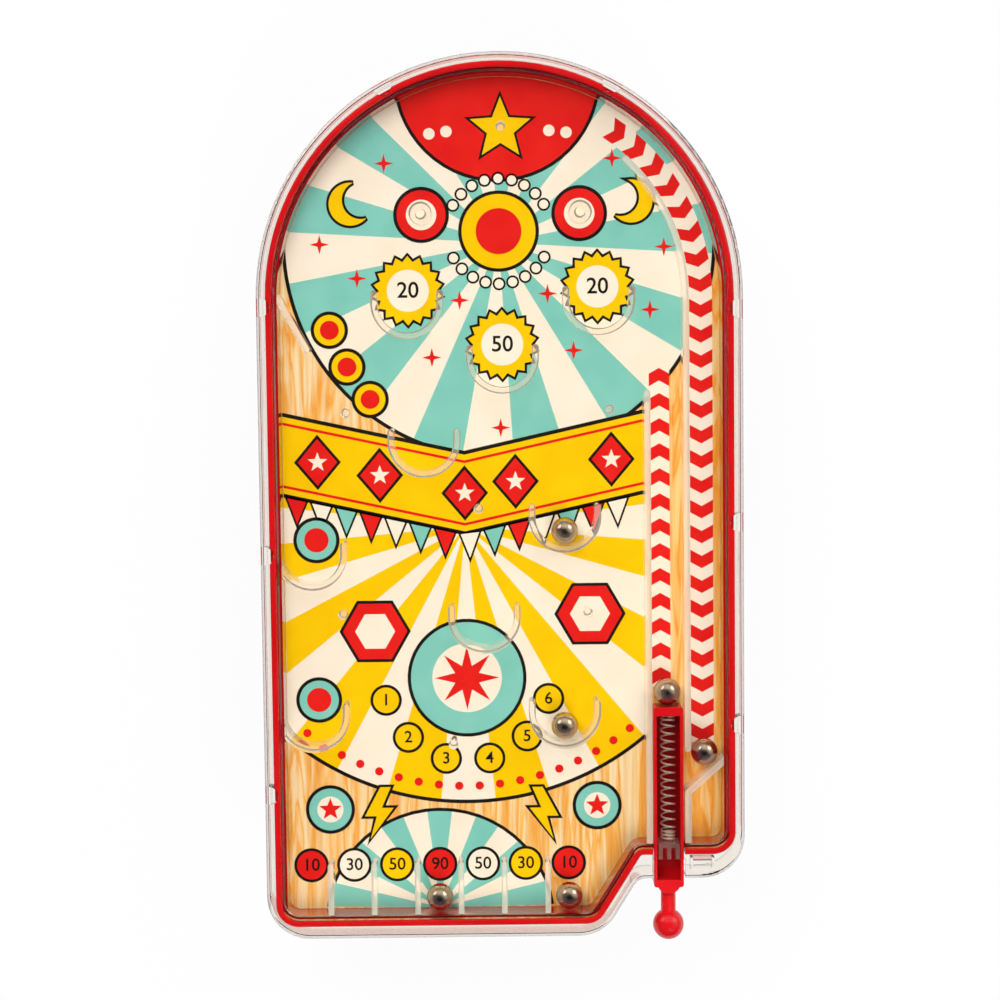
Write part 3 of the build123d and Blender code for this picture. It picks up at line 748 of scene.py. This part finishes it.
# %% [markdown]
# ## Roundels and badges
# Targets, lamps and badges mark where a ball scores. Each is a stack of two or three shapes, with the black
# one a little larger so that it reads as an outline.

# %% Roundels
roundels = []
inner_share = 0.62
sun_face_y = 94.0
dial_x, dial_y = -13.0, -64.0
corner_badges = ((-62.5, -111.0), (33.0, -110.5))


def roundel(x, y, radius, outer, inner, sides=48):
    """Notes an outlined disc with a smaller disc in it."""
    roundels.append((x, y, radius, outer, inner, sides))


def cup_mouth(name):
    """The middle of a cup's open end, in millimetres."""
    low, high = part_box(name)
    return (low.x + high.x) / 2 / MM, high.y / MM


posts_low, posts_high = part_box("bumper_posts")
post_radius = (posts_high.y - posts_low.y) / 2
post_y = (posts_high.y + posts_low.y) / 2 / MM
roundel(sun_x, sun_face_y, 13.0, "yellow", "red")
for post_x in ((posts_low.x + post_radius) / MM, (posts_high.x - post_radius) / MM):
    roundel(post_x, post_y, 8.6, "red", "cream")
for name in ("cup_left_upper", "cup_left_lower"):
    roundel(*cup_mouth(name), 7.0, "turquoise", "red")
roundel(-45.5, -47.0, 11.5, "red", "cream", 6)
roundel(31.0, -41.5, 11.5, "red", "cream", 6)
roundel(dial_x, dial_y, 20.0, "turquoise", "cream")
for x, y in corner_badges:
    roundel(x, y, 7.6, "turquoise", "cream")
for x, y in ((-60.0, 60.0), (-54.0, 47.0), (-46.0, 35.5)):
    roundel(x, y, 5.4, "yellow", "red")
for ink in ("yellow", "red", "turquoise"):
    lay_shapes(ink, 5, [disc(x, y, size, sides) for x, y, size, outer, inner, sides in roundels if outer == ink])
for ink in ("red", "cream"):
    lay_shapes(ink, 6, [
        disc(x, y, inner_share * size, sides) for x, y, size, outer, inner, sides in roundels if inner == ink
    ])
lay_shapes("black", 4, [disc(x, y, size + 1.2, sides) for x, y, size, outer, inner, sides in roundels])
print(len(roundels), "roundels")

# %% Badges over the upper cups
badges = [(*cup_mouth("cup_top_left"), 20), (*cup_mouth("cup_top_centre"), 50), (*cup_mouth("cup_top_right"), 20)]
lay_shapes("black", 4, [star(x, y, 13.4, 11.4, 18) for x, y, score in badges])
lay_shapes("yellow", 5, [star(x, y, 12.2, 10.2, 18) for x, y, score in badges])
lay_shapes("cream", 6, [disc(x, y, 7.4) for x, y, score in badges])
for x, y, score in badges:
    lay_number("black", 7, score, x, y, 5.6)
print(len(badges), "badges")

# %% Lamps, shell and pocket numbers
lamps = [around(dial_x, dial_y, 30.0, 195 + 30 * step) for step in range(6)]
lay_shapes("black", 4, [disc(x, y, 5.6) for x, y in lamps])
lay_shapes("yellow", 5, [disc(x, y, 4.6) for x, y in lamps])
for count, (x, y) in enumerate(lamps):
    lay_number("black", 7, count + 1, x, y, 4.2)
badge_stars = [star(x, y, 4.2, 1.8, 5) for x, y in corner_badges]
lay_shapes("red", 7, [star(dial_x, dial_y, 11.5, 4.6, 8)] + badge_stars)
sun_lamps = [around(sun_x, sun_face_y, 18.4, turn) for turn in range(0, 360, 15) if abs(turn % 180 - 90) < 62]
lay_shapes("black", 4, [disc(x, y, 2.3, 24) for x, y in sun_lamps])
lay_shapes("cream", 5, [disc(x, y, 1.6, 24) for x, y in sun_lamps])
shell_x, shell_y, shell_reach = -23.5, -152.0, 40.0
lay_shapes("black", 1, [arc(shell_x, shell_y, shell_reach + 1.2, 8, 172)])
lay_shapes("cream", 2, [arc(shell_x, shell_y, shell_reach, 8, 172)])
lay_shapes("turquoise", 3, [
    [(shell_x, shell_y + 5)] + arc(shell_x, shell_y, shell_reach, 8 + 12.6 * ray, 8 + 12.6 * (ray + 1), 6)
    for ray in range(0, 13, 2)
])
pocket_first, pocket_pitch, pocket_y = -69.6, 15.37, -131.2
pocket_middles = [pocket_first + pocket_pitch * pocket for pocket in range(7)]
pocket_inks = ("red", "cream", "yellow", "red", "cream", "yellow", "red")
lay_shapes("black", 4, [disc(x, pocket_y, 6.2) for x in pocket_middles])
for ink in ("red", "cream", "yellow"):
    lay_shapes(ink, 5, [disc(x, pocket_y, 5.2) for x, own in zip(pocket_middles, pocket_inks) if own == ink])
for x, score in zip(pocket_middles, (10, 30, 50, 90, 50, 30, 10)):
    lay_number("black", 6, score, x, pocket_y, 4.4)
print(len(lamps), "lamps and", len(pocket_middles), "pockets")

# %% [markdown]
# ## One piece for each ink
# The sheets of one ink are joined, so that the print is five pieces that each have one finish. They ride on
# the cabinet, as the card does.

# %% Join the inks
for ink, laid in sheets.items():
    bpy.ops.object.select_all(action="DESELECT")
    for sheet in laid:
        sheet.select_set(True)
    bpy.context.view_layer.objects.active = laid[0]
    bpy.ops.object.join()
    piece = bpy.context.object
    piece.name = f"print_{ink}"
    piece.data.materials.clear()
    piece.data.materials.append(inks[ink])
    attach(piece, "cabinet")
    print(piece.name, len(piece.data.polygons), "faces")

# %% [markdown]
# ## The plunger's spring
# The spring is one round wire with close turns at both ends and open ones between. The CAD solid has those
# turns as arcs. Here a helix is worked out point by point, a curve with a round bevel follows it, and the
# curve becomes a mesh. Drawn wire is duller than a polished ball, so a quarter of its light is scattered.

# %% Spring
spring_wire = 0.7 * MM
spring_radius = (spring_high.x - spring_low.x) / 2 - spring_wire / 2
close_pitch, head_turns, open_turns, stop_turns = 1.2 * MM, 1.5, 14.0, 3.0
free_run = spring_high.y - spring_low.y - spring_wire - close_pitch * (head_turns + stop_turns)
open_pitch = free_run / open_turns
turns = head_turns + open_turns + stop_turns


def spring_drop(turn):
    """How far the wire has run down the spring after that many turns."""
    close = min(turn, head_turns) + max(turn - head_turns - open_turns, 0)
    return close * close_pitch + min(max(turn - head_turns, 0), open_turns) * open_pitch


coil = bpy.data.curves.new("spring_coil", "CURVE")
coil.dimensions = "3D"
coil.bevel_depth = spring_wire / 2
coil.bevel_resolution = 3
coil.use_fill_caps = True
spline = coil.splines.new("POLY")
steps_per_turn = 24
steps = int(turns * steps_per_turn)
spline.points.add(steps)
for step, point in enumerate(spline.points):
    turn = turns * step / steps
    angle = 2 * math.pi * turn
    y = spring_high.y - spring_wire / 2 - spring_drop(turn)
    point.co = (
        spring_middle.x + spring_radius * math.sin(angle), y, spring_middle.z + spring_radius * math.cos(angle), 1
    )
spring = bpy.data.objects.new("spring_coil", coil)
bpy.context.collection.objects.link(spring)
bpy.ops.object.select_all(action="DESELECT")
spring.select_set(True)
bpy.context.view_layer.objects.active = spring
bpy.ops.object.convert(target="MESH")
spring = bpy.context.object
bpy.ops.object.mode_set(mode="EDIT")
bpy.ops.mesh.select_all(action="SELECT")
bpy.ops.mesh.remove_doubles(threshold=spring_wire / 100)
bpy.ops.mesh.normals_make_consistent(inside=False)
bpy.ops.object.mode_set(mode="OBJECT")
bpy.ops.object.shade_smooth_by_angle(angle=math.radians(60))

spring_steel, tree, shader, places = new_finish("spring_steel", 0.25)
shader.inputs["Metallic"].default_value = 0.75
drawn = noise(tree, places, 500.0, 4.0)
steel_tone = colour_ramp(tree, drawn, "Fac", [(0.3, (0.82, 0.77, 0.64)), (0.7, (0.94, 0.90, 0.79))])
wire(tree, steel_tone, "Color", shader, "Base Color")
vary_roughness(tree, shader, noise(tree, places, 1800.0), 0.24, 0.38)
spring.data.materials.append(spring_steel)
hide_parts("plunger_spring")
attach(spring, "cabinet")
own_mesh(spring)

# %% [markdown]
# ## Steel balls
# A bearing ball is a mirror, and a mirror shows every facet. So each ball starts as a cube, is subdivided and
# cast to a sphere, which gives even quads with no poles, and is shaded smooth. The polish is broken by fine
# scratches.

# %% Balls
steel_ball, tree, shader, places = new_finish("steel_ball", 0.06)
ball_levels = 4
shader.inputs["Metallic"].default_value = 1.0
shade = noise(tree, places, 220.0, 4.0)
ball_tone = colour_ramp(tree, shade, "Fac", [(0.3, (0.60, 0.54, 0.45)), (0.7, (0.72, 0.66, 0.57))])
wire(tree, ball_tone, "Color", shader, "Base Color")
shader.inputs["Specular Tint"].default_value = (0.55, 0.48, 0.40, 1)
vary_roughness(tree, shader, noise(tree, places, 900.0, 6.0, (1, 0.2, 1)), 0.03, 0.12)
raise_grain(tree, shader, noise(tree, places, 700.0, 5.0), 0.04, 0.0001)


def polish_ball(name):
    """A smooth ball in the place of a CAD ball."""
    low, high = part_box(name)
    bpy.ops.object.select_all(action="DESELECT")
    bpy.ops.mesh.primitive_cube_add(size=(high.x - low.x) / math.sqrt(3))
    ball = bpy.context.object
    ball.name = f"polished_{name}"
    bpy.ops.object.modifier_add(type="SUBSURF")
    ball.modifiers[-1].subdivision_type = "SIMPLE"
    ball.modifiers[-1].levels = ball.modifiers[-1].render_levels = ball_levels
    bpy.ops.object.modifier_apply(modifier=ball.modifiers[-1].name)
    bpy.ops.object.modifier_add(type="CAST")
    ball.modifiers[-1].factor = 1.0
    ball.modifiers[-1].size = (high.x - low.x) / 2
    ball.modifiers[-1].use_radius_as_size = False
    bpy.ops.object.modifier_apply(modifier=ball.modifiers[-1].name)
    ball.location = (low + high) / 2
    bpy.ops.object.transform_apply()
    bpy.ops.object.shade_smooth()
    ball.data.materials.append(steel_ball)
    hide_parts(name)
    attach(ball, name)
    return ball


balls = [polish_ball(name) for name in nodes if name.startswith("ball_")]
print(len(balls), "balls,", round(balls[0].dimensions.x / MM, 3), "mm")
